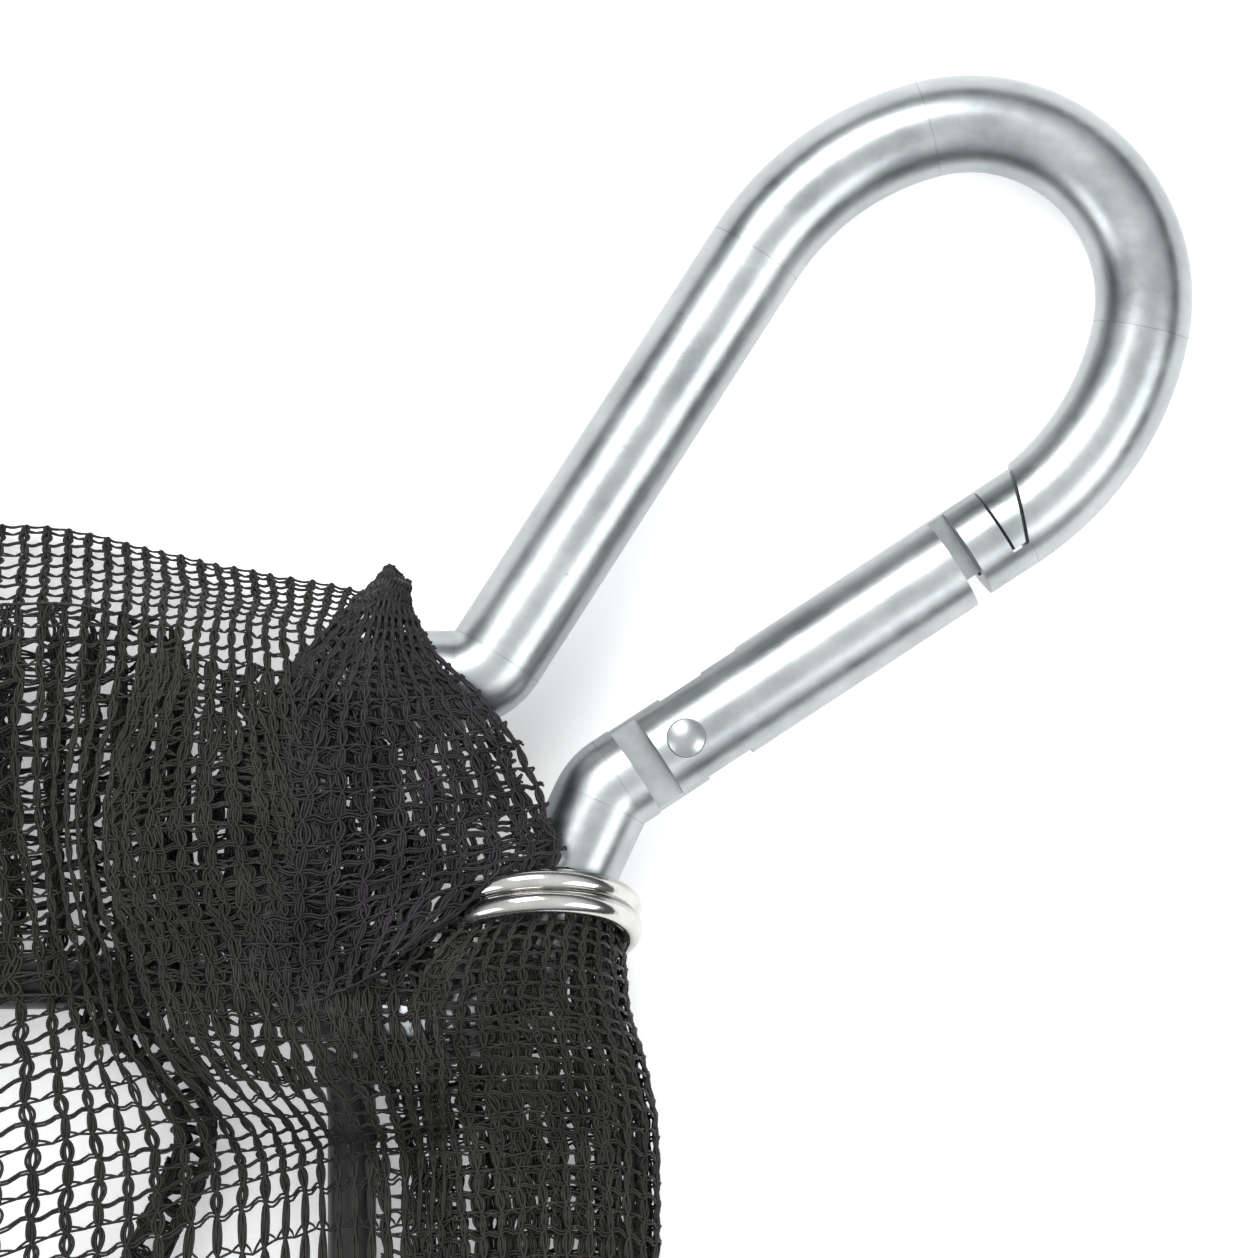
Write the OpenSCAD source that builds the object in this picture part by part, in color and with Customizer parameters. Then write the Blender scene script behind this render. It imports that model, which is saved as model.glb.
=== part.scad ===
// Folding crab trap, folded flat, with a snap hook on a split ring at one corner.
// X runs along the trap's length, Y across it, Z up. The origin is on the ground, at the trap's centre.

/* [Frame] */
// Length of the base frame between rod centre-lines
base_length = 456; // [440:2:480]
// Width of the base frame between rod centre-lines
base_width = 296; // [286:2:310]
// Diameter of the frame rod
rod_d = 4; // [3.6:0.1:4.2]
// Bend radius of the base frame's corners
base_bend = 10; // [9:1:12]
// How far each folded arch lies inside the base frame
arch_inset = 48; // [46:1:50]
// Distance of each arch pivot from the middle of the trap
pivot_x = 7; // [6.5:0.5:9]

/* [Nets] */
// Slack net beyond the base frame at each end
end_slack = 25; // [20:1:30]
// Slack net beyond the base frame at each side
side_slack = 38; // [30:1:40]
// Thickness that a flattened net takes up
net_t = 0.6; // [0.5:0.1:0.8]
// Inner diameter of each entrance ring
entrance_d = 88; // [80:2:100]

/* [Snap hook] */
// Wire diameter of the snap hook
hook_wire = 8; // [7.8:0.1:8]
// Centre-line radius of the bow
bow_r = 14.2; // [13.8:0.1:14.6]
// Centre-line radius of the eye's two ends
eye_r = 11; // [10.8:0.1:11.4]
// Height of the eye's centre above the ground
eye_z = 9.3; // [9.2:0.1:10]
// Forward tilt of the hook, which rests its bow on the ground
hook_tilt = 3.8; // [3.5:0.1:4]

/* [Split ring] */
// Wire diameter of each coil of the split ring
ring_wire = 1.9; // [1.7:0.1:1.9]
// Centre-line radius of the split ring
ring_r = 7.5; // [7.5:0.1:7.8]
// Lean of the ring's plane from the ground
ring_lean = 68; // [66:1:70]

/* [Hidden] */
$fn = 64;

rod_r = rod_d / 2;
rod_z = 1 + rod_r;
half_l = base_length / 2;
half_w = base_width / 2;
arch_x = half_l - arch_inset;
arch_y = half_w - arch_inset;
arch_bend = base_bend + 2;
hook_r = hook_wire / 2;

// Each arch's pivot pins: the bend into the pin, the straight pin and its clearance in the hinge block.
pin_bend = 5;
pin_l = 6;
pin_gap = 0.06;

// The tube of each entrance ring, and how far the ring's middle is from the middle of the trap.
ring_tube = 1.9;
entrance_x = pivot_x + 100;

// Headings of the hook's gate, spine, neck and bow, in degrees from +X, as the hook lies.
gate_heading = 33.2;
spine_heading = 57.3;
neck_heading = 65;
bow_heading = 45.4;
// The middle of the hook's eye, and the straight side between the eye's two bends.
eye_at = [233.9, 160.3, eye_z];
eye_side = 5.8;
// The rivet, the gate's reach from it and the lugs at its nose, along and across the gate.
rivet_at = [21.4, 8.0, 0];
gate_nose = 26.5;
notch_from = 31;
notch_to = 32;
notch_wide = 34.9;
notch_depth = 1.8;
tongue_t = 3;
rivet_r = 1.55;
gate_gap = 0.25;
// The ring's centre, from the eye's centre, and the ring's turn about Z.
ring_at = [9.55, -7.0, -0.15];
ring_turn = 3;
// The underside of the net's pulled-up corner, just above the hook's eye.
flap_z = 14.8;
flap_t = 1;

// One bent run of round rod. A step is [length] or [bend radius, turn], with left turns positive.
// Each step starts a hair after the last one ends, and a core joins the two.
module rod_run(steps, r, i = 0) {
    if (i < len(steps)) {
        step = steps[i];
        hair = i > 0 ? 0.02 : 0;
        if (i > 0) translate([-0.4, 0, 0]) rotate([0, 90, 0]) cylinder(h = 0.8, r = r - 0.15);
        if (len(step) == 1) {
            translate([hair, 0, 0]) rotate([0, 90, 0]) cylinder(h = step[0] - hair, r = r);
            translate([step[0], 0, 0]) rod_run(steps, r, i + 1);
        } else {
            side = sign(step[1]);
            turn = abs(step[1]);
            skip = hair / step[0] * 180 / PI;
            translate([0, side * step[0], 0])
                rotate([0, 0, side > 0 ? skip - 90 : 90 - turn])
                    rotate_extrude(angle = turn - skip) translate([step[0], 0]) circle(r = r);
            translate([step[0] * sin(turn), side * step[0] * (1 - cos(turn)), 0])
                rotate([0, 0, step[1]]) rod_run(steps, r, i + 1);
        }
    }
}

module rounded_plate(x0, x1, y, corner, t) {
    linear_extrude(height = t) union() {
        translate([x0, corner - y]) square([x1 - x0, 2 * (y - corner)]);
        translate([x0 + corner, -y]) square([x1 - x0 - 2 * corner, 2 * y]);
        for (cx = [x0 + corner, x1 - corner], cy = [corner - y, y - corner])
            translate([cx, cy]) circle(r = corner);
    }
}

module base_frame() {
    long_run = base_length - 2 * base_bend;
    short_run = base_width - 2 * base_bend;
    color("dimgray") translate([base_bend - half_l, -half_w, rod_z])
        rod_run([[long_run], [base_bend, 90], [short_run], [base_bend, 90],
            [long_run], [base_bend, 90], [short_run], [base_bend, 90]], rod_r);
}

module frame_sleeve() {
    sleeve_l = 32;
    sleeve_x = -90;
    wall = 0.35;
    color("silver") translate([sleeve_x, -half_w, rod_z]) rotate([0, 90, 0]) difference() {
        cylinder(h = sleeve_l, r = rod_r + wall);
        translate([0, 0, -1]) cylinder(h = sleeve_l + 2, r = rod_r + 0.02);
    }
}

// A moulded block on one long side of the frame. It holds both arches' pins.
module hinge_block() {
    block_l = 2 * pivot_x + 14;
    inner = arch_y + pin_bend + 0.3;
    outer = half_w + rod_r + 1.2;
    under = net_t + 0.1;
    color("black") difference() {
        translate([-block_l / 2, inner, under]) cube([block_l, outer - inner, 2 * (rod_z - under)]);
        translate([-block_l, half_w, rod_z]) rotate([0, 90, 0]) cylinder(h = 2 * block_l, r = rod_r + 0.02);
        for (x = [-pivot_x, pivot_x])
            translate([x, inner - 1, rod_z]) rotate([-90, 0, 0])
                cylinder(h = pin_l + 2.6, r = rod_r + pin_gap);
    }
}

module hinge_block_back() {
    hinge_block();
}

module hinge_block_front() {
    mirror([0, 1, 0]) hinge_block();
}

// A U-shaped arch, folded flat over its own half, with its two ends turned out as pivot pins.
module arch() {
    leg = arch_x - pivot_x - pin_bend - arch_bend;
    color("dimgray") translate([pivot_x, arch_y + pin_bend + pin_l, rod_z]) rotate([0, 0, -90])
        rod_run([[pin_l], [pin_bend, 90], [leg], [arch_bend, -90], [2 * (arch_y - arch_bend)],
            [arch_bend, -90], [leg], [pin_bend, 90], [pin_l]], rod_r);
}

module arch_right() {
    arch();
}

module arch_left() {
    mirror([1, 0, 0]) arch();
}

module entrance_ring() {
    color("black") translate([entrance_x, 0, rod_z])
        rotate_extrude() translate([entrance_d / 2 + ring_tube, 0]) circle(r = ring_tube);
}

module entrance_ring_right() {
    entrance_ring();
}

module entrance_ring_left() {
    mirror([1, 0, 0]) entrance_ring();
}

// The funnel's net, gathered flat around its entrance ring.
module funnel() {
    color("darkslategray") translate([entrance_x, 0, rod_z + ring_tube + 0.1]) difference() {
        cylinder(h = 0.5, r = entrance_d / 2 + 24);
        translate([0, 0, -1]) cylinder(h = 3, r = entrance_d / 2 + ring_tube);
    }
}

module funnel_right() {
    funnel();
}

module funnel_left() {
    mirror([1, 0, 0]) funnel();
}

module floor_net() {
    reach = half_l + end_slack;
    color("darkslategray") rounded_plate(-reach, reach, half_w + side_slack, 30, net_t);
}

// Half of the upper net, folded flat over its arch, with the mouth of its funnel.
module shell_net() {
    color("darkslategray") translate([0, 0, rod_z + rod_r + 0.9]) difference() {
        rounded_plate(pivot_x + 6, arch_x + 2, arch_y + 2, 12, net_t);
        translate([entrance_x, 0, -1]) cylinder(h = 3, r = entrance_d / 2 + 25);
    }
}

module shell_net_right() {
    shell_net();
}

module shell_net_left() {
    mirror([1, 0, 0]) shell_net();
}

module bait_pouch() {
    color("darkslategray") translate([0, 0, net_t]) rounded_plate(-45, 45, 32, 8, 1.9);
}

module bait_clip() {
    color("black") translate([0, 20, net_t + 1.95]) difference() {
        rounded_plate(-9, 9, 4.5, 3, 1.3);
        for (x = [-5, 5]) translate([x, 0, -1]) cylinder(h = 4, r = 1.6);
    }
}

// The pulled-up corner of the net, which lies over the hook's eye. The split ring goes through it.
module net_flap() {
    lobe_r = 11;
    slack = 0.6;
    color("darkslategray") difference() {
        translate([eye_at[0], eye_at[1], flap_z]) linear_extrude(height = flap_t) union() {
            translate([-3, 2]) circle(r = lobe_r);
            translate([1, -3]) circle(r = lobe_r);
            translate([-12, -12]) square([20, 12]);
        }
        in_ring() rotate_extrude() translate([ring_r - ring_wire / 2 - slack, -ring_wire - 1.5 * slack])
            square([ring_wire + 2 * slack, 2 * ring_wire + 3 * slack]);
    }
}

// Places its children in the frame of the split ring, whose axis is Z there.
module in_ring() {
    translate(eye_at + ring_at) rotate([0, 0, ring_turn]) rotate([ring_lean, 0, 0]) children();
}

module split_ring() {
    color("gainsboro") in_ring() rotate_extrude() union() {
        translate([ring_r, ring_wire / 2 - 0.02]) circle(d = ring_wire);
        translate([ring_r, 0.02 - ring_wire / 2]) circle(d = ring_wire);
    }
}

// Places its children in the frame of the hook, whose flat side is level there.
module in_hook() {
    translate(eye_at) rotate([0, 0, bow_heading]) rotate([0, hook_tilt, 0])
        rotate([0, 0, -bow_heading]) children();
}

// Places its children with X along the gate, from the rivet towards the nose.
module along_gate() {
    translate(rivet_at) rotate([0, 0, gate_heading]) children();
}

// The wedge at the nose that the gate's head fills. grow opens it by a clearance.
module nose_wedge(grow) {
    linear_extrude(height = hook_wire + 2, center = true) polygon([
        [notch_from - grow, -notch_depth - grow], [notch_to + grow, -notch_depth - grow],
        [notch_wide + 1 + grow, hook_wire], [notch_from - grow, hook_wire]]);
}

// The hook's bent wire, from its neck below the rivet round the eye, spine and bow to the nose.
module hook_wire_run() {
    neck_turn = 180 + neck_heading - (180 + gate_heading);
    along_gate() translate([-4.9, 0, 0]) rotate([0, 0, 180])
        rod_run([[1.5], [4.2, neck_turn], [12.5], [eye_r, -155], [eye_side], [eye_r, -90], [3.3],
            [4.2, spine_heading], [39.25], [24.2, -42.3], [bow_r, -116.4], [24.6, -45.4], [4.6]], hook_r);
}

module hook_body() {
    color("silver") in_hook() difference() {
        union() {
            hook_wire_run();
            along_gate() intersection() {
                translate([-5.5, 0, 0]) rotate([0, 90, 0]) cylinder(h = 12, r = hook_r - 0.1);
                union() {
                    translate([-5.5, -hook_r, -tongue_t / 2]) cube([5.5, hook_wire, tongue_t]);
                    cylinder(h = tongue_t, r = 3.4, center = true);
                }
            }
        }
        along_gate() {
            cylinder(h = 2 * tongue_t, r = rivet_r + 0.02, center = true);
            nose_wedge(gate_gap);
            translate([gate_nose - 2, -notch_depth - gate_gap, -1.5])
                cube([notch_from - gate_nose + 3, hook_wire, 3]);
        }
    }
}

// The sprung gate: a formed tube with a slot for the hook's tongue and a blade and wedge at its nose.
module hook_gate() {
    bore_r = 2.5;
    tube_l = gate_nose - gate_gap + 2.5;
    color("silver") in_hook() along_gate() difference() {
        union() {
            translate([-2.5, 0, 0]) rotate([0, 90, 0]) cylinder(h = tube_l, r = hook_r);
            intersection() {
                translate([gate_nose - 4, 0, 0]) rotate([0, 90, 0]) cylinder(h = 14, r = hook_r);
                union() {
                    nose_wedge(0);
                    translate([gate_nose - 4, -notch_depth, -1.25])
                        cube([notch_from - gate_nose + 4.5, 6, 2.5]);
                }
            }
        }
        translate([-3, 0, 0]) rotate([0, 90, 0]) cylinder(h = 21, r = bore_r);
        translate([-3, -hook_r - 1, -tongue_t / 2 - 0.1]) cube([7.2, hook_wire + 2, tongue_t + 0.2]);
        translate([3, 0, -1.2]) cube([4.6, hook_wire, 2.4]);
        cylinder(h = 3 * hook_wire, r = rivet_r + 0.05, center = true);
    }
}

module gate_rivet() {
    color("silver") in_hook() along_gate() {
        cylinder(h = 2 * hook_r + 0.3, r = rivet_r, center = true);
        for (side = [-1, 1]) translate([0, 0, side * (hook_r + 0.15)])
            intersection() {
                cylinder(h = 1, r = rivet_r, center = true);
                translate([0, 0, -side * 2.6]) sphere(r = 3);
            }
    }
}

module gate_plunger() {
    color("dimgray") in_hook() along_gate() translate([3.6, 0, 0]) rotate([0, 90, 0]) {
        cylinder(h = 2.4, r = 2.35);
        cylinder(h = 7, r = 1.1);
    }
}

// A coil spring: round wire swept along a helix. It starts clear of the plunger's head at full travel.
module gate_spring() {
    start = 7.4;
    turns = 7;
    steps = 16;
    sides = 6;
    coil_r = 1.85;
    wire_r = 0.35;
    length = 10;
    count = turns * steps;
    points = [for (i = [0:count], j = [0:sides - 1])
        let (a = 360 * i / steps, b = 360 * j / sides, r = coil_r + wire_r * cos(b))
            [length * i / count + wire_r * sin(b), r * cos(a), r * sin(a)]];
    skin = [for (i = [0:count - 1], j = [0:sides - 1])
        let (a = i * sides, k = (j + 1) % sides) [a + j, a + k, a + sides + k, a + sides + j]];
    ends = [[for (j = [0:sides - 1]) sides - 1 - j], [for (j = [0:sides - 1]) count * sides + j]];
    color("gray") in_hook() along_gate() translate([start, 0, 0])
        polyhedron(points = points, faces = concat(skin, ends), convexity = 4);
}

base_frame();
frame_sleeve();
hinge_block_back();
hinge_block_front();
arch_left();
arch_right();
entrance_ring_left();
entrance_ring_right();
funnel_left();
funnel_right();
floor_net();
shell_net_left();
shell_net_right();
bait_pouch();
bait_clip();
net_flap();
split_ring();
hook_body();
hook_gate();
gate_rivet();
gate_plunger();
gate_spring();
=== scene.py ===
"""Looks of the folding crab trap: knitted nets, plated steel, rods and plastic, in metres."""

import math
import bpy
import numpy as np
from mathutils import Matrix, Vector


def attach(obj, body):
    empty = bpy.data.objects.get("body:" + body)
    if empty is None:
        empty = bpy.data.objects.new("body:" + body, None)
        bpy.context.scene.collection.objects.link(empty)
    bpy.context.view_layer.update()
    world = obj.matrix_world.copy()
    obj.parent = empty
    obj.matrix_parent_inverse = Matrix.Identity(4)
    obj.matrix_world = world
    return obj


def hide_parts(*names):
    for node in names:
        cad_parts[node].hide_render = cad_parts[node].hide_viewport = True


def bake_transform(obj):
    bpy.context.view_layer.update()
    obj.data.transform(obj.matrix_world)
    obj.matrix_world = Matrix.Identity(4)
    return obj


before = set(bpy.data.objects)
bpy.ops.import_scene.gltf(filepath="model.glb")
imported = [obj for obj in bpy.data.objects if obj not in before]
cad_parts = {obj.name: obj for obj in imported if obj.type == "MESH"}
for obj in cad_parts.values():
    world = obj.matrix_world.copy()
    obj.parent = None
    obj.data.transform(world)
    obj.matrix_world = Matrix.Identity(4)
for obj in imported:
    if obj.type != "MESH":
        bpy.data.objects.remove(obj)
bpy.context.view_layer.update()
rng = np.random.default_rng(7)

MM = 0.001
WALE = 1.88  # spacing of the knit's chains, mm
HALF_COURSE = 1.8  # length of a loop, and of the ladder between two loops, mm
THREAD = 0.145  # radius of the chains' strands, mm
INLAY = 0.11  # radius of the inlaid threads, mm
HALF_L = 228.0  # base frame's centre-line, mm
HALF_W = 148.0
END_SLACK = 25.0
SIDE_SLACK = 37.0
ARCH_IN = 48.0
CORNER_X = 194.0  # inner limits of the knitted corner
CORNER_Y = 120.0
MOUTH_X = 107.0
MOUTH_R = 66  # round hole in each shell net, where its funnel starts
THROAT_R = 46.3  # the funnel's inner end
SHELL_START = 9  # the shell nets' and gussets' edge nearest the middle, from X = 0
POUCH_X = 44  # half sizes of the bait pouch
POUCH_Y = 31
GUSSET_OUTER = 32.0  # inset of a gusset's outer edge from the base frame's centre-line
PLEAT_DENSITY = 6.0  # how many times denser the knit is drawn along a folded gusset
CAMERA_HEIGHT = 0.70  # m
PICTURE_WIDTH = 0.104  # m, on the ground


# ---------------------------------------------------------------- materials
def node_tree(name):
    mat = bpy.data.materials.new(name)
    mat.use_nodes = True
    tree = mat.node_tree
    return mat, tree, tree.nodes["Principled BSDF"]


class Wires:
    """Short calls for building a material's node tree."""

    def __init__(self, tree):
        self.tree = tree

    def add(self, kind, **values):
        node = self.tree.nodes.new(kind)
        for key, value in values.items():
            setattr(node, key, value)
        return node

    def link(self, a, b):
        self.tree.links.new(a, b)

    def math(self, operation, a, b=None, c=None):
        node = self.add("ShaderNodeMath", operation=operation)
        for socket, value in zip(node.inputs, (a, b, c)):
            if value is None:
                continue
            if isinstance(value, (int, float)):
                socket.default_value = value
            else:
                self.link(value, socket)
        return node.outputs[0]

    def noise(self, vector, scale, detail=4.0, rough=0.55):
        node = self.add("ShaderNodeTexNoise")
        node.inputs["Scale"].default_value = scale
        node.inputs["Detail"].default_value = detail
        node.inputs["Roughness"].default_value = rough
        self.link(vector, node.inputs["Vector"])
        return node.outputs["Fac"]

    def ramp(self, factor, stops):
        node = self.add("ShaderNodeValToRGB")
        ramp = node.color_ramp
        while len(ramp.elements) < len(stops):
            ramp.elements.new(0.5)
        for element, (at, colour) in zip(ramp.elements, stops):
            element.position = at
            element.color = (*colour, 1)
        self.link(factor, node.inputs["Fac"])
        return node.outputs["Color"]

    def mapping(self, vector, scale=(1, 1, 1), turn=(0, 0, 0)):
        node = self.add("ShaderNodeMapping")
        node.inputs["Scale"].default_value = scale
        node.inputs["Rotation"].default_value = turn
        self.link(vector, node.inputs["Vector"])
        return node.outputs["Vector"]

    def bump(self, height, shader, strength, distance):
        node = self.add("ShaderNodeBump")
        node.inputs["Strength"].default_value = strength
        node.inputs["Distance"].default_value = distance
        self.link(height, node.inputs["Height"])
        self.link(node.outputs["Normal"], shader.inputs["Normal"])


def zinc_material(name, turn):
    """Zinc plate: bright satin, drawn along the wire, with faint clouding and a few rust specks."""
    mat, tree, shader = node_tree(name)
    w = Wires(tree)
    at = w.add("ShaderNodeTexCoord").outputs["Object"]
    drawn = w.mapping(at, scale=(60, 900, 900), turn=(0, 0, turn))
    streaks = w.noise(drawn, 1.0, 5)
    cloud = w.noise(at, 120, 5, 0.65)
    speck = w.noise(at, 900, 3, 0.7)
    base = w.ramp(cloud, [(0.3, (0.25, 0.275, 0.28)), (0.5, (0.345, 0.37, 0.375)),
                          (0.72, (0.44, 0.465, 0.47))])
    rust = w.add("ShaderNodeMix", data_type="RGBA")
    rust_at = w.math("MULTIPLY", w.math("GREATER_THAN", speck, 0.71), w.math("GREATER_THAN", cloud, 0.56))
    w.link(w.math("MULTIPLY", rust_at, 0.55), rust.inputs[0])
    w.link(base, rust.inputs[6])
    rust.inputs[7].default_value = (0.33, 0.22, 0.14, 1)
    w.link(rust.outputs[2], shader.inputs["Base Color"])
    shader.inputs["Metallic"].default_value = 1.0
    rough = w.math("ADD", w.math("MULTIPLY", streaks, 0.16), w.math("MULTIPLY", cloud, 0.24))
    w.link(w.math("ADD", rough, 0.13), shader.inputs["Roughness"])
    height = w.math("ADD", w.math("MULTIPLY", streaks, 0.5), w.math("MULTIPLY", speck, 0.5))
    w.bump(height, shader, 0.25, 0.00008)
    return mat


def nickel_material():
    mat, tree, shader = node_tree("nickel")
    w = Wires(tree)
    at = w.add("ShaderNodeTexCoord").outputs["Object"]
    cloud = w.noise(at, 260, 5, 0.6)
    tone = w.ramp(cloud, [(0.3, (0.40, 0.39, 0.37)), (0.7, (0.60, 0.59, 0.565))])
    w.link(tone, shader.inputs["Base Color"])
    shader.inputs["Metallic"].default_value = 1.0
    w.link(w.math("MULTIPLY_ADD", cloud, 0.22, 0.04), shader.inputs["Roughness"])
    w.bump(w.noise(at, 1500, 3), shader, 0.15, 0.00005)
    return mat


def painted_material(name, dark, light, rough, scale, depth):
    """Paint or moulded plastic: a faint tone change and a fine skin."""
    mat, tree, shader = node_tree(name)
    w = Wires(tree)
    at = w.add("ShaderNodeTexCoord").outputs["Object"]
    cloud = w.noise(at, scale, 5, 0.6)
    w.link(w.ramp(cloud, [(0.35, dark), (0.7, light)]), shader.inputs["Base Color"])
    w.link(w.math("MULTIPLY_ADD", cloud, 0.25, rough), shader.inputs["Roughness"])
    w.bump(w.noise(at, scale * 12, 4), shader, 0.35, depth)
    return mat


def thread_material(name, dark, light):
    """Polyethylene monofilament: near black with a waxy gloss."""
    mat, tree, shader = node_tree(name)
    w = Wires(tree)
    at = w.add("ShaderNodeTexCoord").outputs["Object"]
    tone = w.noise(at, 180, 4, 0.6)
    w.link(w.ramp(tone, [(0.3, dark), (0.75, light)]), shader.inputs["Base Color"])
    w.link(w.math("MULTIPLY_ADD", w.noise(at, 2500, 2), 0.25, 0.30), shader.inputs["Roughness"])
    shader.inputs["Specular IOR Level"].default_value = 0.22
    w.bump(w.noise(at, 4000, 2), shader, 0.25, 0.00004)
    return mat


def knit_material(name, dark, light, width):
    """Nearly the same knit as the threads, drawn as an opacity pattern on a plain sheet, by UV in cells."""
    mat, tree, shader = node_tree(name)
    w = Wires(tree)
    uv = w.add("ShaderNodeUVMap")
    uv.uv_map = "knit"
    sep = w.add("ShaderNodeSeparateXYZ")
    w.link(uv.outputs["UV"], sep.inputs[0])
    u, v = sep.outputs[0], sep.outputs[1]
    at = w.add("ShaderNodeTexCoord").outputs["Object"]
    wander = w.math("MULTIPLY", w.math("SUBTRACT", w.noise(at, 250, 2), 0.5), 0.35)
    u = w.math("ADD", u, wander)
    across = w.math("ABSOLUTE", w.math("SUBTRACT", w.math("FRACT", u), 0.5))
    arch = w.math("ABSOLUTE", w.math("SINE", w.math("MULTIPLY", v, math.pi)))
    in_loop = w.math("LESS_THAN", w.math("FRACT", w.math("MULTIPLY", v, 0.5)), 0.5)
    loop = w.math("MULTIPLY", w.math("POWER", arch, 0.8), 0.19)
    ladder = w.math("MULTIPLY", w.math("POWER", arch, 0.4), 0.13)
    swing = w.math("ADD", ladder, w.math("MULTIPLY", in_loop, w.math("SUBTRACT", loop, ladder)))
    wale = w.math("MINIMUM", w.math("ABSOLUTE", w.math("SUBTRACT", across, swing)),
                  w.math("ABSOLUTE", w.math("SUBTRACT", across, w.math("MULTIPLY", swing, 0.42))))
    wave = w.math("MULTIPLY", w.math("SINE", w.math("MULTIPLY", u, 2 * math.pi)), 0.10)
    hump = w.math("MULTIPLY", w.math("ABSOLUTE", w.math("SINE", w.math("MULTIPLY", u, math.pi))), 0.22)
    at_even = w.math("PINGPONG", w.math("SUBTRACT", v, wave), 1.0)
    at_odd = w.math("SUBTRACT", 1.0, w.math("PINGPONG", v, 1.0))
    over_odd = w.math("SUBTRACT", 1.0, w.math("PINGPONG", w.math("SUBTRACT", v, hump), 1.0))
    inlay = w.math("MINIMUM", at_even, w.math("MINIMUM", at_odd, over_odd))
    opaque = w.math("MAXIMUM", w.math("LESS_THAN", wale, width), w.math("LESS_THAN", inlay, width * 0.8))
    w.link(opaque, shader.inputs["Alpha"])
    w.link(w.ramp(w.noise(at, 60, 4), [(0.3, dark), (0.75, light)]), shader.inputs["Base Color"])
    w.link(w.math("MULTIPLY_ADD", w.noise(at, 1500, 2), 0.2, 0.35), shader.inputs["Roughness"])
    w.bump(w.math("MULTIPLY", w.math("MINIMUM", wale, inlay), -1.0), shader, 0.6, 0.0003)
    return mat


ZINC = zinc_material("zinc", -math.radians(57.3))
ZINC_GATE = zinc_material("zinc_gate", -math.radians(33.2))
NICKEL = nickel_material()
ROD = painted_material("rod_paint", (0.012, 0.012, 0.012), (0.03, 0.03, 0.029), 0.28, 90, 0.00006)
PLASTIC = painted_material("moulded_plastic", (0.014, 0.014, 0.015), (0.028, 0.028, 0.03), 0.38, 150, 0.00005)
SPRING = painted_material("spring_steel", (0.25, 0.25, 0.25), (0.4, 0.4, 0.4), 0.25, 300, 0.00003)
SPRING.node_tree.nodes["Principled BSDF"].inputs["Metallic"].default_value = 1.0
THREADS = thread_material("net_thread", (0.011, 0.0105, 0.009), (0.027, 0.0255, 0.022))
FLAP_THREADS = thread_material("flap_thread", (0.011, 0.0095, 0.0105), (0.027, 0.0235, 0.026))
KNIT = knit_material("knit_net", (0.016, 0.0155, 0.013), (0.040, 0.038, 0.033), 0.085)
WIDE_KNIT = knit_material("wide_net", (0.016, 0.0155, 0.013), (0.040, 0.038, 0.033), 0.05)


# ---------------------------------------------------------------- mesh helpers
def make_object(name, verts, faces, mat, uvs=None, smooth=True):
    """A mesh object from arrays: verts in mm, faces as an (n, 3) or (n, 4) index array."""
    verts = np.ascontiguousarray(np.asarray(verts, np.float32).reshape(-1, 3) * MM)
    faces = np.asarray(faces, np.int32)
    mesh = bpy.data.meshes.new(name)
    sides = faces.shape[1]
    mesh.vertices.add(len(verts))
    mesh.vertices.foreach_set("co", verts.ravel())
    mesh.loops.add(faces.size)
    mesh.loops.foreach_set("vertex_index", faces.ravel())
    mesh.polygons.add(len(faces))
    mesh.polygons.foreach_set("loop_start", np.arange(0, faces.size, sides, dtype=np.int32))
    if smooth:
        mesh.polygons.foreach_set("use_smooth", np.ones(len(faces), bool))
    if uvs is not None:
        layer = mesh.uv_layers.new(name="knit")
        layer.data.foreach_set("uv", np.asarray(uvs, np.float32)[faces.ravel()].ravel())
    mesh.update(calc_edges=True)
    mesh.validate()
    mesh.materials.append(mat)
    obj = bpy.data.objects.new(name, mesh)
    bpy.context.collection.objects.link(obj)
    return obj


def curve_through(points, count):
    """A Catmull-Rom curve along the first axis of an array of points, sampled count times."""
    points = np.asarray(points, float)
    n = len(points)
    t = np.linspace(0, n - 1 - 1e-9, count)
    i = np.floor(t).astype(int)
    f = (t - i).reshape((-1,) + (1,) * (points.ndim - 1))
    p0, p1 = points[np.clip(i - 1, 0, n - 1)], points[i]
    p2, p3 = points[np.clip(i + 1, 0, n - 1)], points[np.clip(i + 2, 0, n - 1)]
    return 0.5 * (2 * p1 + (p2 - p0) * f + (2 * p0 - 5 * p1 + 4 * p2 - p3) * f**2
                  + (3 * p1 - p0 - 3 * p2 + p3) * f**3)


def surface(rows, count_v, count_u):
    """A smooth surface through rows of control points. Each row may have its own number of points."""
    even = np.array([curve_through(row, count_u) for row in rows])
    return curve_through(even, count_v)


def wrinkles(shape, points, size, amount, waves=18):
    """Smooth random height over a surface: a sum of sine waves about size mm long."""
    height = np.zeros(shape)
    for _ in range(waves):
        way = rng.normal(size=2)
        way *= 2 * math.pi / (size * rng.uniform(0.6, 1.8)) / np.linalg.norm(way)
        height += np.sin(points[..., 0] * way[0] + points[..., 1] * way[1] + rng.uniform(0, 7))
    return amount * height / math.sqrt(waves)


def normals_of(grid):
    du = np.gradient(grid, axis=1)
    dv = np.gradient(grid, axis=0)
    normal = np.cross(du, dv)
    return normal / np.maximum(np.linalg.norm(normal, axis=-1, keepdims=True), 1e-9)


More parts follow.
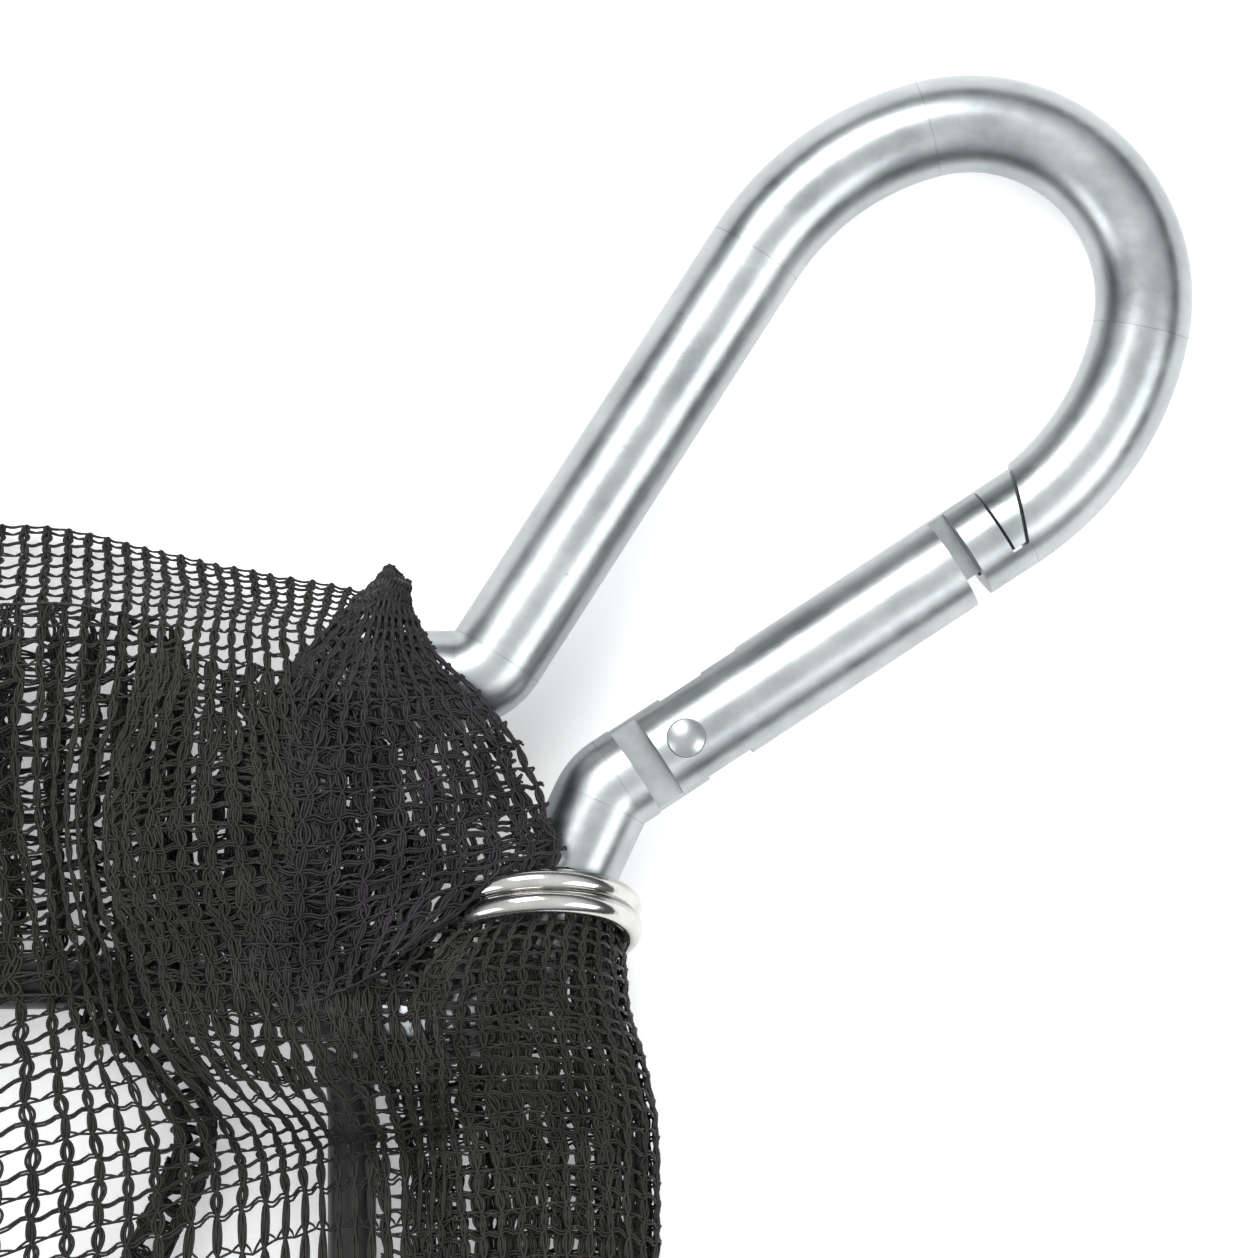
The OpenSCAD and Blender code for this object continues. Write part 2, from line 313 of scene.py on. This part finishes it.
def sample(grid, v, u):
    """The grid's value at fractional rows v and columns u."""
    v = np.clip(v, 0, grid.shape[0] - 1.001)
    u = np.clip(u, 0, grid.shape[1] - 1.001)
    i, j = np.floor(v).astype(int), np.floor(u).astype(int)
    a, b = (v - i)[..., None], (u - j)[..., None]
    return ((grid[i, j] * (1 - b) + grid[i, j + 1] * b) * (1 - a)
            + (grid[i + 1, j] * (1 - b) + grid[i + 1, j + 1] * b) * a)


def tubes(lines, normal, radius):
    """Closed four-sided tubes along lines, an array of (line, point, xyz). Returns verts and faces."""
    sides = 4
    tangent = np.gradient(lines, axis=1)
    tangent /= np.maximum(np.linalg.norm(tangent, axis=-1, keepdims=True), 1e-9)
    side = np.cross(tangent, normal)
    side /= np.maximum(np.linalg.norm(side, axis=-1, keepdims=True), 1e-9)
    up = np.cross(side, tangent)
    turn = 2 * math.pi * np.arange(sides) / sides
    ring = side[:, :, None] * np.cos(turn)[:, None] + up[:, :, None] * np.sin(turn)[:, None]
    verts = (lines[:, :, None] + radius * ring).reshape(-1, 3)
    count, length = lines.shape[:2]
    first = (np.arange(count)[:, None, None] * length + np.arange(length - 1)[None, :, None]) * sides
    k = np.arange(sides)[None, None, :]
    after = (k + 1) % sides
    quads = np.stack([first + k, first + after, first + sides + after, first + sides + k], -1).reshape(-1, 4)
    start = np.arange(count)[:, None] * length * sides + np.arange(sides)[::-1][None]
    end = (np.arange(count)[:, None] * length + length - 1) * sides + np.arange(sides)[None]
    return verts, np.concatenate([quads, start, end])


def follow_corner(obj):
    """Bakes a net piece of the base into world space; nothing makes it lift with the pulled-up corner."""
    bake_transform(obj)


def quads_of(grid):
    """Corner indices of the grid's faces, as (row, column, 4)."""
    rows, cols = grid.shape[:2]
    index = np.arange(rows * cols).reshape(rows, cols)
    return np.stack([index[:-1, :-1], index[:-1, 1:], index[1:, 1:], index[1:, :-1]], -1)


def outside_corner(grid, x, y):
    """Which of the grid's faces lie outside the knitted corner, which starts at x, y."""
    middle = (grid[:-1, :-1] + grid[1:, 1:]) / 2
    return ~((middle[..., 0] > x) & (middle[..., 1] > y))


def grid_lengths(grid):
    """Mean length of the grid's rows and of its columns."""
    across = np.linalg.norm(np.diff(grid, axis=1), axis=-1).sum(1).mean()
    along = np.linalg.norm(np.diff(grid, axis=0), axis=-1).sum(0).mean()
    return across, along


def knitted(name, grid, mat, body, tight=(1.0, 1.0), jitter=0.10):
    """A net of real threads on a surface: chains of loops and ladders, with pairs of threads laid across."""
    across, along = grid_lengths(grid)
    wales = max(2, round(across / WALE * tight[0]))
    halves = 2 * max(1, round(along / (2 * HALF_COURSE) * tight[1]))
    normal = normals_of(grid)
    scale_u = (grid.shape[1] - 1) / wales
    scale_v = (grid.shape[0] - 1) / halves
    drift = rng.normal(size=(halves + 3, wales + 3, 3)) * jitter

    def place(u, v, height):
        slip = sample(drift, v + 1, u + 1)
        u = u + slip[..., 0]
        v = v + slip[..., 1]
        at = sample(grid, v * scale_v, u * scale_u)
        up = sample(normal, v * scale_v, u * scale_u)
        up /= np.maximum(np.linalg.norm(up, axis=-1, keepdims=True), 1e-9)
        return at + up * (height + 0.5 * slip[..., 2])[..., None], up

    parts = []
    v = np.linspace(0, halves, halves * 7 + 1)[None]
    middle = np.arange(wales)[:, None] + 0.5
    arch = np.abs(np.sin(math.pi * v))
    in_loop = v % 2 < 1
    outer = np.where(in_loop, 0.19 * arch**0.8, 0.13 * arch**0.4)
    inner = np.where(in_loop, 0.085 * arch, 0.05 * arch**0.4)
    for side in (-1, 1):
        for swing, rise in ((outer, 0.13), (inner, -0.11)):
            height = side * rise * np.cos(math.pi * v) + 0 * middle
            line, up = place(middle + side * swing, v + 0 * middle, height)
            parts.append(tubes(line, up, THREAD))
    u = np.linspace(0, wales, wales * 6 + 1)[None]
    even = np.arange(0, halves + 1, 2)[:, None]
    odd = even[:-1] + 1
    wave = np.sin(2 * math.pi * u)
    for level, offset in ((even, 0.10 * wave - 0.06), (even, 0.10 * wave + 0.06),
                          (odd, np.zeros_like(wave)), (odd, 0.22 * np.abs(np.sin(math.pi * u)))):
        lean = 0.05 * np.sin(math.pi * u * 0.5 + level * 2.1)
        height = -0.10 - 0.08 * np.cos(2 * math.pi * u) + 0 * level
        line, up = place(u + 0 * level, level + offset + lean, height)
        parts.append(tubes(line, up, INLAY))
    verts, faces, base = [], [], 0
    for part_verts, part_faces in parts:
        verts.append(part_verts)
        faces.append(part_faces + base)
        base += len(part_verts)
    obj = make_object(name, np.concatenate(verts), np.concatenate(faces), mat)
    if body == "base":
        follow_corner(obj)
    else:
        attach(obj, body)
    return obj


def knit_sheet(name, grid, mat, body=None, cell=WALE, size=None, blend=None, mask=None,
               gathered=1.0):
    """A plain sheet on a grid with the knit drawn on it. size is its flat width and length in mm.

    Without a size, both are measured on the grid itself.
    """
    rows, cols = grid.shape[:2]
    across, along = size or grid_lengths(grid)
    u = np.linspace(0, across / cell, cols)[None].repeat(rows, 0)
    v = np.linspace(0, along * gathered / cell, rows)[:, None].repeat(cols, 1)
    faces = quads_of(grid)
    faces = faces[mask] if mask is not None else faces.reshape(-1, 4)
    used, faces = np.unique(faces, return_inverse=True)
    uvs = np.stack([u, v], -1).reshape(-1, 2)[used]
    obj = make_object(name, grid.reshape(-1, 3)[used], faces.reshape(-1, 4), mat, uvs=uvs)
    if blend == "corner":
        follow_corner(obj)
    elif blend:
        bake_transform(obj)
    else:
        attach(obj, body)
    return obj


# ---------------------------------------------------------------- the knitted corner
def corner_left():
    """The slack net over the frame's corner: the open panel, the cover over the eye and the top edge."""
    rows = [
        [(190, 117, 7.5), (206, 117, 6.5), (220, 117, 6), (229, 117, 7.2), (236, 117, 7)],
        [(190, 122, 7.2), (206, 126.5, 6.4), (220, 130.5, 6.6), (229, 132.5, 7.6), (236, 133.5, 8.5)],
        [(190, 130, 6.8), (206, 134.5, 6.4), (219, 136.5, 9), (228, 137, 12.4), (236, 138, 13)],
        [(190, 138, 6.2), (205, 142, 6.6), (213.5, 144, 13.8), (225, 143, 15.6), (236, 143.5, 15.3)],
        [(190, 146, 6.5), (204, 149, 8.5), (211.5, 151.5, 14.4), (224, 152, 15.6), (234.5, 151.5, 12.5)],
        [(190, 154, 9.5), (203, 156, 11), (209.5, 157.5, 15.2), (223, 158, 15.9), (234, 156.5, 14.4)],
        [(190, 163, 11.3), (202, 163.5, 12), (209.5, 164.5, 15.0), (222, 164.5, 15.8), (233, 162, 15.7)],
        [(190, 171.5, 10.8), (202, 172, 11.5), (211.5, 172.5, 14.0), (221, 171.5, 14.2), (231, 168.5, 15.2)],
        [(190, 178, 8), (202, 178.4, 8.4), (212, 178.2, 9.6), (220.5, 177.3, 10), (228, 175.5, 11)],
        [(190, 182.5, 4), (202, 182.4, 4), (212, 181.3, 4.6), (221, 179.6, 6), (228.5, 178.5, 9)],
        [(190, 186.5, 1.5), (202, 185.8, 1.5), (211.5, 183.8, 2), (220.5, 181.8, 3), (229.5, 180.2, 7)],
    ]
    grid = surface(rows, 160, 110)
    grid[..., 2] += wrinkles(grid.shape[:2], grid, 13, 0.35)
    grid[..., 1] += wrinkles(grid.shape[:2], grid, 16, 0.25)
    knitted("corner_net", grid, THREADS, "base", jitter=0.08)
    over_eye = grid[42:118, 52:]
    for name, depth in (("eye_cover_a", 0.2), ("eye_cover_b", 0.4)):
        layer = over_eye.copy()
        layer[..., 2] -= depth
        layer[..., 0] += wrinkles(layer.shape[:2], layer, 8, 0.5)
        layer[..., 1] += wrinkles(layer.shape[:2], layer, 8, 0.5)
        knitted(name, layer, THREADS, "base", tight=(1.1, 1.1), jitter=0.12)


def corner_under():
    """The net's lower folds, which make the hump dark: more layers below the upper one, back and forth."""
    for name, lift, shift, low, high in (("corner_fold_a", 1.6, 0.9, 146.5, 178.5),
                                         ("corner_fold_b", 3.4, -0.8, 147.5, 177.3),
                                         ("corner_fold_c", 5.0, 0.3, 147, 176.2)):
        rows = []
        for part in np.linspace(0, 1, 6):
            y = low + (high - low) * part
            z = 11.5 - lift - 4 * abs(part - 0.5)
            rows.append([(190, y, z), (204, y + shift, z + 0.5), (212, y - shift, z + 0.8),
                         (214, y - 0.06 * (y - 150), z), (215.4 - part, y - 0.12 * (y - 150), z - 1)])
        grid = surface(rows, 80, 70)
        grid[..., 2] += wrinkles(grid.shape[:2], grid, 12, 0.4)
        knitted(name, grid, THREADS, "base", jitter=0.12)


def corner_pleat():
    """A narrow pleat, folded back and forth, that curves down through the open panel."""
    middle = curve_through([(205.5, 146.2, 4.6), (207.9, 145.2, 4.4), (211.2, 143, 4.2), (214.3, 139.4, 4.0),
                            (215.1, 135.6, 3.9), (214, 131.5, 3.9), (211.8, 127.3, 3.9), (209, 121, 3.9)], 90)
    run = np.gradient(middle[:, :2], axis=0)
    run /= np.linalg.norm(run, axis=1, keepdims=True)
    across = np.c_[-run[:, 1], run[:, 0], np.zeros(len(run))]
    folds = [(-1.9, -2.6), (1.8, -2.1), (-1.8, -0.9), (1.9, -0.3), (-1.7, 0.8), (1.8, 1.2)]
    rows = np.array([[at + side * way + (0, 0, rise) for side, rise in folds]
                     for at, way in zip(middle, across)])
    grid = surface(rows, 90, 110)
    grid[..., 2] += wrinkles(grid.shape[:2], grid, 5, 0.12)
    knitted("corner_pleat", grid, THREADS, "base", jitter=0.12)


def corner_fold():
    """The tube of net below the ring: over, round its outer edge and back underneath."""
    sections = [
        (156.0, 240.5, 248.6, 14.6), (153.5, 237.6, 249.8, 15.2), (150.0, 234.6, 250.4, 15.5),
        (146.0, 233.2, 250.8, 15.0), (142.0, 232.9, 252.0, 13.4), (137.0, 233.2, 253.0, 10.6),
        (131.0, 234.2, 253.2, 8.8), (125.0, 234.6, 253.1, 8.8), (117.0, 234.4, 252.6, 8.8),
    ]
    rows = []
    for y, x0, x1, top in sections:
        wide = x1 - x0
        rows.append([
            (x0 - 1, y, top * 0.8), (x0 + 0.16 * wide, y + 0.9, top * 0.96),
            (x0 + 0.38 * wide, y + 1.7, top), (x0 + 0.64 * wide, y + 1.9, top * 0.98),
            (x0 + 0.87 * wide, y + 1.2, top * 0.86), (x1, y, top * 0.45),
            (x0 + 0.86 * wide, y - 0.4, top * 0.14 + 0.4), (x0 + 0.45 * wide, y - 0.8, 1.2),
            (x0 + 0.1 * wide, y - 0.8, 1.3),
        ])
    grid = surface(rows, 100, 150)
    grid[..., 2] += np.abs(wrinkles(grid.shape[:2], grid, 9, 0.25))
    knitted("edge_fold", grid, THREADS, "base", tight=(1.0, 1.12), jitter=0.09)
    for name, depth, reach in (("edge_fold_inner", 0.45, 0.5), ("edge_fold_deep", 0.9, 4.5)):
        inner = surface([[(x0 - reach, y, top - depth - 0.6), (x0 + 0.4 * (x1 - x0), y, top - depth),
                          (x0 + 0.8 * (x1 - x0), y, (top - depth) * 0.92), (x1 - 1, y, top * 0.5)]
                         for y, x0, x1, top in sections[1:]], 100, 70)
        inner[..., 2] += wrinkles(inner.shape[:2], inner, 8, 0.15)
        knitted(name, inner, THREADS, "base", tight=(1.1, 1.1), jitter=0.12)


def corner_flap():
    """The pulled-up corner of the net over the hook's eye, from its peak to the split ring."""
    rows = [
        [(231.0, 182.2, 10), (231.4, 182.4, 11), (231.8, 182.0, 11), (232.2, 181.6, 10)],
        [(228.6, 179.6, 10), (230.4, 179.6, 13.4), (231.9, 179.3, 13.8), (233.2, 178.8, 12)],
        [(225.0, 176.3, 11), (228.8, 175.6, 15), (232.2, 175.4, 15.7), (235.4, 175.2, 14.5)],
        [(221.0, 171.4, 12.6), (227.0, 170.6, 15.7), (233.6, 171.0, 16.4), (239.2, 171.8, 14.6)],
        [(217.0, 165.2, 13.6), (226.2, 164.8, 16.0), (235.2, 165.8, 16.6), (242.8, 167.0, 14)],
        [(215.4, 158.6, 14.0), (225.8, 158.6, 16.1), (236.2, 160.6, 16.7), (244.6, 162.2, 14)],
        [(216.4, 152.0, 14.4), (225.6, 152.6, 16.1), (235.2, 156.2, 16.5), (245.4, 158.4, 15.2)],
        [(219.6, 146.0, 14.8), (226.0, 147.4, 16.0), (231.6, 150.4, 15.6), (237.0, 155.0, 13.0)],
    ]
    grid = surface(rows, 110, 90)
    grid[..., 2] += wrinkles(grid.shape[:2], grid, 7, 0.22)
    flap = knitted("flap_net", grid, FLAP_THREADS, "corner", tight=(1.12, 1.05), jitter=0.09)
    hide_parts("net_flap")
    for name, depth, trim in (("flap_net_inner", 0.3, 5), ("flap_net_deep", 0.6, 8)):
        layer = grid.copy()
        layer[..., 2] -= depth
        layer[..., 0] += wrinkles(grid.shape[:2], grid, 6, 0.4)
        layer[..., 1] += wrinkles(grid.shape[:2], grid, 6, 0.4)
        knitted(name, layer[trim:-4, 3:-trim], FLAP_THREADS, "corner", tight=(1.15, 1.1), jitter=0.12)


# ---------------------------------------------------------------- the rest of the net
def ring_path(inset_x, inset_y, radius, total):
    """A closed rounded rectangle sampled evenly along its length, as (total, 2)."""
    hx, hy = HALF_L - inset_x, HALF_W - inset_y
    pts = []
    for cx, cy, a0 in ((1, 1, 0), (-1, 1, 90), (-1, -1, 180), (1, -1, 270)):
        for a in np.linspace(a0, a0 + 90, 7):
            pts.append((cx * (hx - radius) + radius * math.cos(math.radians(a)),
                        cy * (hy - radius) + radius * math.sin(math.radians(a))))
    pts.append(pts[0])
    pts = np.array(pts)
    step = np.r_[0, np.cumsum(np.linalg.norm(np.diff(pts, axis=0), axis=1))]
    at = np.linspace(0, step[-1], total)
    return np.stack([np.interp(at, step, pts[:, 0]), np.interp(at, step, pts[:, 1])], -1)


def skirt():
    """The slack net round the folded frame: up over the rod, out over the ground and back under."""
    total = 900
    profile = [(33, 33, 5.6), (20, 20, 6.2), (6, 6, 7.0), (0, 0, 7.4), (-7, -9, 8.4), (-15, -22, 7.0),
               (-22, -33, 4.0), (-END_SLACK, -SIDE_SLACK, 1.8), (-20, -30, 0.7), (-8, -12, 0.5)]
    rows = []
    for inset_x, inset_y, z in profile:
        radius = max(6.0, 12.0 - inset_x * 0.8)
        path = ring_path(inset_x, inset_y, radius, total)
        rows.append(np.c_[path, np.full(total, z)])
    grid = curve_through(np.array(rows), 60)
    slack = np.linspace(0.2, 1, 60)[:, None] ** 0.5
    grid[..., 2] += wrinkles(grid.shape[:2], grid, 30, 0.9) * slack * (grid[..., 2] > 2)
    outward = wrinkles(grid.shape[:2], grid, 55, 1.6) * (grid[..., 2] < 5)
    grid[..., 0] -= np.abs(outward) * np.sign(grid[..., 0]) * (np.abs(grid[..., 0]) > HALF_L)
    grid[..., 1] -= np.abs(outward) * np.sign(grid[..., 1]) * (np.abs(grid[..., 1]) > HALF_W)
    grid[..., 2] = np.maximum(grid[..., 2], 0.35)
    mask = outside_corner(grid, CORNER_X - 3, CORNER_Y - 2)
    length = np.linalg.norm(np.diff(grid[20], axis=0), axis=-1).sum()
    _, along = grid_lengths(grid)
    knit_sheet("skirt_net", grid, KNIT, size=(length, along), mask=mask, blend="corner")
    second = grid[8:46].copy()
    second[..., 2] = np.maximum(second[..., 2] - 2.2, 0.6)
    second[..., :2] *= 0.995
    second[..., 2] += np.abs(wrinkles(second.shape[:2], second, 22, 0.6))
    mask = outside_corner(second, CORNER_X - 3, CORNER_Y - 2)
    _, along = grid_lengths(second)
    knit_sheet("skirt_fold_net", second, KNIT, size=(length, along), mask=mask, blend="corner")


def gussets():
    """The nets that join each arch to the base, pleated flat and baked in place."""
    inner, outer = ARCH_IN, GUSSET_OUTER
    for side, arch in ((1, "right_arch"), (-1, "left_arch")):
        for name, way in (("end", (side, 0)), ("back", (0, 1)), ("front", (0, -1))):
            rows = []
            for part in np.linspace(0, 1, 25):
                inset = outer + (inner - outer) * part
                pleat = 0.5 * math.sin(part * 6 * math.pi)
                z = 5.7 + 0.3 * part + pleat
                x, y = HALF_L - inset, HALF_W - inset
                if way[0]:
                    line = [(side * x, -y + 2 * y * k, z) for k in np.linspace(0, 1, 60)]
                else:
                    line = [(side * (SHELL_START + (x - SHELL_START) * k), way[1] * y, z)
                            for k in np.linspace(0, 1, 60)]
                rows.append(line)
            grid = np.array(rows)
            grid[..., 2] += wrinkles(grid.shape[:2], grid, 9, 0.15)
            if way[0]:
                start = (side * (HALF_L - outer) * MM, 0, 0)
                end = (side * (HALF_L - inner) * MM, 0, 0)
                length = 2 * (HALF_W - 40)  # chosen, not measured
            else:
                start = (0, way[1] * (HALF_W - outer) * MM, 0)
                end = (0, way[1] * (HALF_W - inner) * MM, 0)
                length = HALF_L - 50  # chosen, not measured
            label = ("right" if side > 0 else "left") + "_" + name + "_gusset"
            _, along = grid_lengths(grid)
            knit_sheet(label, grid, KNIT, size=(length, along), blend=("base", arch, start, end),
                       gathered=PLEAT_DENSITY)


def polar_sheet(centre, inner, outer, heights, count=120):
    """Rows from a circle out to a curve, for a sheet with a round hole. outer is a function of the angle."""
    angles = np.linspace(0, 2 * math.pi, count)
    rows = []
    for part, z in heights:
        reach = inner + (outer(angles) - inner) * part
        x, y = centre[0] + reach * np.cos(angles), centre[1] + reach * np.sin(angles)
        rows.append(np.c_[x, y, np.full(count, z)])
    return curve_through(np.array(rows), 40)


def rectangle_reach(x0, x1, y, centre_x):
    """How far a ray from (centre_x, 0) runs before it meets the rectangle, by its angle."""
    def reach(angles):
        c, s = np.cos(angles), np.sin(angles)
        right, left = (x1 - centre_x) / np.maximum(c, 1e-6), (centre_x - x0) / np.maximum(-c, 1e-6)
        far_x = np.where(c > 0, right, left)
        far_y = y / np.maximum(np.abs(s), 1e-6)
        return np.minimum(far_x, far_y)
    return reach


def shells_and_funnels():
    x1, y = HALF_L - ARCH_IN, HALF_W - ARCH_IN
    for side, label in ((1, "right"), (-1, "left")):
        reach = rectangle_reach(SHELL_START, x1, y, MOUTH_X)
        grid = polar_sheet((MOUTH_X, 0), MOUTH_R, reach, [(0, 6.3), (0.3, 6.7), (0.7, 6.5), (1, 6.3)])
        grid[..., 2] += np.abs(wrinkles(grid.shape[:2], grid, 26, 0.45))
        grid[..., 0] *= side
        obj = knit_polar(label + "_shell_net", grid, KNIT)
        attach(obj, label + "_arch")
        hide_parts("shell_net_" + label)
        grid = polar_sheet((MOUTH_X, 0), THROAT_R, lambda a: MOUTH_R + 0 * a,
                           [(0, 3.2), (0.12, 5.0), (0.5, 5.6), (1, 6.35)])
        angle = np.linspace(0, 2 * math.pi, grid.shape[1])[None]
        fade = np.sin(np.linspace(0, math.pi, grid.shape[0]))[:, None]
        grid[..., 2] += 0.35 * fade * np.sin(26 * angle)
        grid[..., 0] *= side
        obj = knit_polar(label + "_funnel_net", grid, KNIT)
        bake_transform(obj)
        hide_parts("funnel_" + label)


def knit_polar(name, grid, mat):
    """A sheet on a polar grid, with the knit running straight across it in X and Y.
    """
    faces = quads_of(grid).reshape(-1, 4)
    obj = make_object(name, grid, faces, mat, uvs=grid[..., :2].reshape(-1, 2) / WALE)
    return obj


def floor_sheet():
    rows, cols = 90, 130
    x = np.linspace(-HALF_L - 17, HALF_L + 17, cols)
    y = np.linspace(-HALF_W - 27, HALF_W + 27, rows)
    grid = np.stack([*np.meshgrid(x, y), np.zeros((rows, cols))], -1)
    grid[..., 2] = 0.35 + np.abs(wrinkles(grid.shape[:2], grid, 40, 0.12))
    mask = outside_corner(grid, CORNER_X, CORNER_Y)
    obj = knit_sheet("floor_sheet", grid, WIDE_KNIT, "base", cell=6.0, mask=mask)
    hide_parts("floor_net")


def pouch():
    """The bait pouch: a flat bag of the same net with a bound edge."""
    rows, cols = 50, 70
    x, y = np.meshgrid(np.linspace(-POUCH_X, POUCH_X, cols), np.linspace(-POUCH_Y, POUCH_Y, rows))
    dome = (1 - (x / POUCH_X) ** 4) * (1 - (y / POUCH_Y) ** 4)
    grid = np.stack([x, y, 0.7 + 1.6 * dome], -1)
    grid[..., 2] += np.abs(wrinkles(grid.shape[:2], grid, 14, 0.2)) * dome
    obj = knit_sheet("bait_pouch_net", grid, KNIT, "base")
    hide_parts("bait_pouch")
    edge = np.array([(-POUCH_X, -POUCH_Y), (POUCH_X, -POUCH_Y), (POUCH_X, POUCH_Y), (-POUCH_X, POUCH_Y),
                     (-POUCH_X, -POUCH_Y)], float)
    sides = [np.linspace(a, b, 30, endpoint=False) for a, b in zip(edge[:-1], edge[1:])]
    pts = np.concatenate(sides + [edge[:1]])
    line = np.c_[pts, np.full(len(pts), 1.2)][None]
    verts, faces = tubes(line, np.zeros_like(line) + (0, 0, 1.0), 0.7)
    bind = make_object("bait_pouch_binding", verts, faces, PLASTIC)
    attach(bind, "base")


# ---------------------------------------------------------------- CAD nodes' finishes
def finish_nodes():
    finishes = {
        ZINC: ["hook_body", "gate_rivet", "frame_sleeve"], ZINC_GATE: ["hook_gate"], NICKEL: ["split_ring"],
        ROD: ["base_frame", "arch_left", "arch_right"], SPRING: ["gate_spring", "gate_plunger"],
        PLASTIC: ["hinge_block_back", "hinge_block_front", "entrance_ring_left", "entrance_ring_right",
                  "bait_clip"],
    }
    for mat, names in finishes.items():
        for name in names:
            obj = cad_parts[name]
            for slot in obj.material_slots:
                slot.material = mat


# ---------------------------------------------------------------- studio
def studio():
    floor = make_object("floor", [(-3000, -3000, 0), (3000, -3000, 0), (3000, 3000, 0), (-3000, 3000, 0)],
                        [(0, 1, 2, 3)], floor_material(), smooth=False)
    floor.location.z = -0.0002
    bpy.context.scene.view_settings.view_transform = "Standard"
    world = bpy.data.worlds.new("studio")
    bpy.context.scene.world = world
    world.use_nodes = True
    w = Wires(world.node_tree)
    split = w.add("ShaderNodeSeparateXYZ")
    w.link(w.add("ShaderNodeTexCoord").outputs["Generated"], split.inputs[0])
    sky = w.ramp(split.outputs[2], [(0.0, (0.10, 0.11, 0.12)), (0.30, (0.22, 0.23, 0.25)),
                                    (0.55, (1.1, 1.14, 1.18)), (1.0, (1.6, 1.62, 1.64))])
    w.link(sky, world.node_tree.nodes["Background"].inputs["Color"])
    world.node_tree.nodes["Background"].inputs["Strength"].default_value = 0.78
    for name, at, aim, size, power in (
        ("key", (-0.1, 1.1, 1.2), (0.25, 0.17, 0), 0.9, 16),
        ("fill", (1.3, -0.3, 0.9), (0.25, 0.17, 0), 0.8, 7),
        ("rim", (-0.9, -0.5, 0.9), (0.1, 0.1, 0), 0.7, 5),
    ):
        light = bpy.data.lights.new(name, "AREA")
        light.size = size
        light.energy = power
        obj = bpy.data.objects.new(name, light)
        bpy.context.collection.objects.link(obj)
        obj.location = at
        way = np.array(aim) - np.array(at)
        obj.rotation_euler = direction(way)
    camera = bpy.data.cameras.new("camera")
    camera.sensor_width = 36
    camera.lens = camera.sensor_width * CAMERA_HEIGHT / PICTURE_WIDTH
    camera.clip_start = 0.01
    obj = bpy.data.objects.new("camera", camera)
    bpy.context.collection.objects.link(obj)
    obj.location = (0.2508, 0.1773, CAMERA_HEIGHT)
    bpy.context.scene.camera = obj


def direction(way):
    """Euler angles that point an object's -Z along way."""
    return Vector(way).to_track_quat("-Z", "Y").to_euler()


def floor_material():
    mat, tree, shader = node_tree("floor_white")
    shader.inputs["Base Color"].default_value = (0.93, 0.93, 0.93, 1)
    shader.inputs["Roughness"].default_value = 0.7
    shader.inputs["Emission Color"].default_value = (1, 1, 1, 1)
    shader.inputs["Emission Strength"].default_value = 0.30
    return mat


corner_left()
corner_under()
corner_pleat()
corner_fold()
corner_flap()
skirt()
gussets()
shells_and_funnels()
floor_sheet()
pouch()
finish_nodes()
studio()
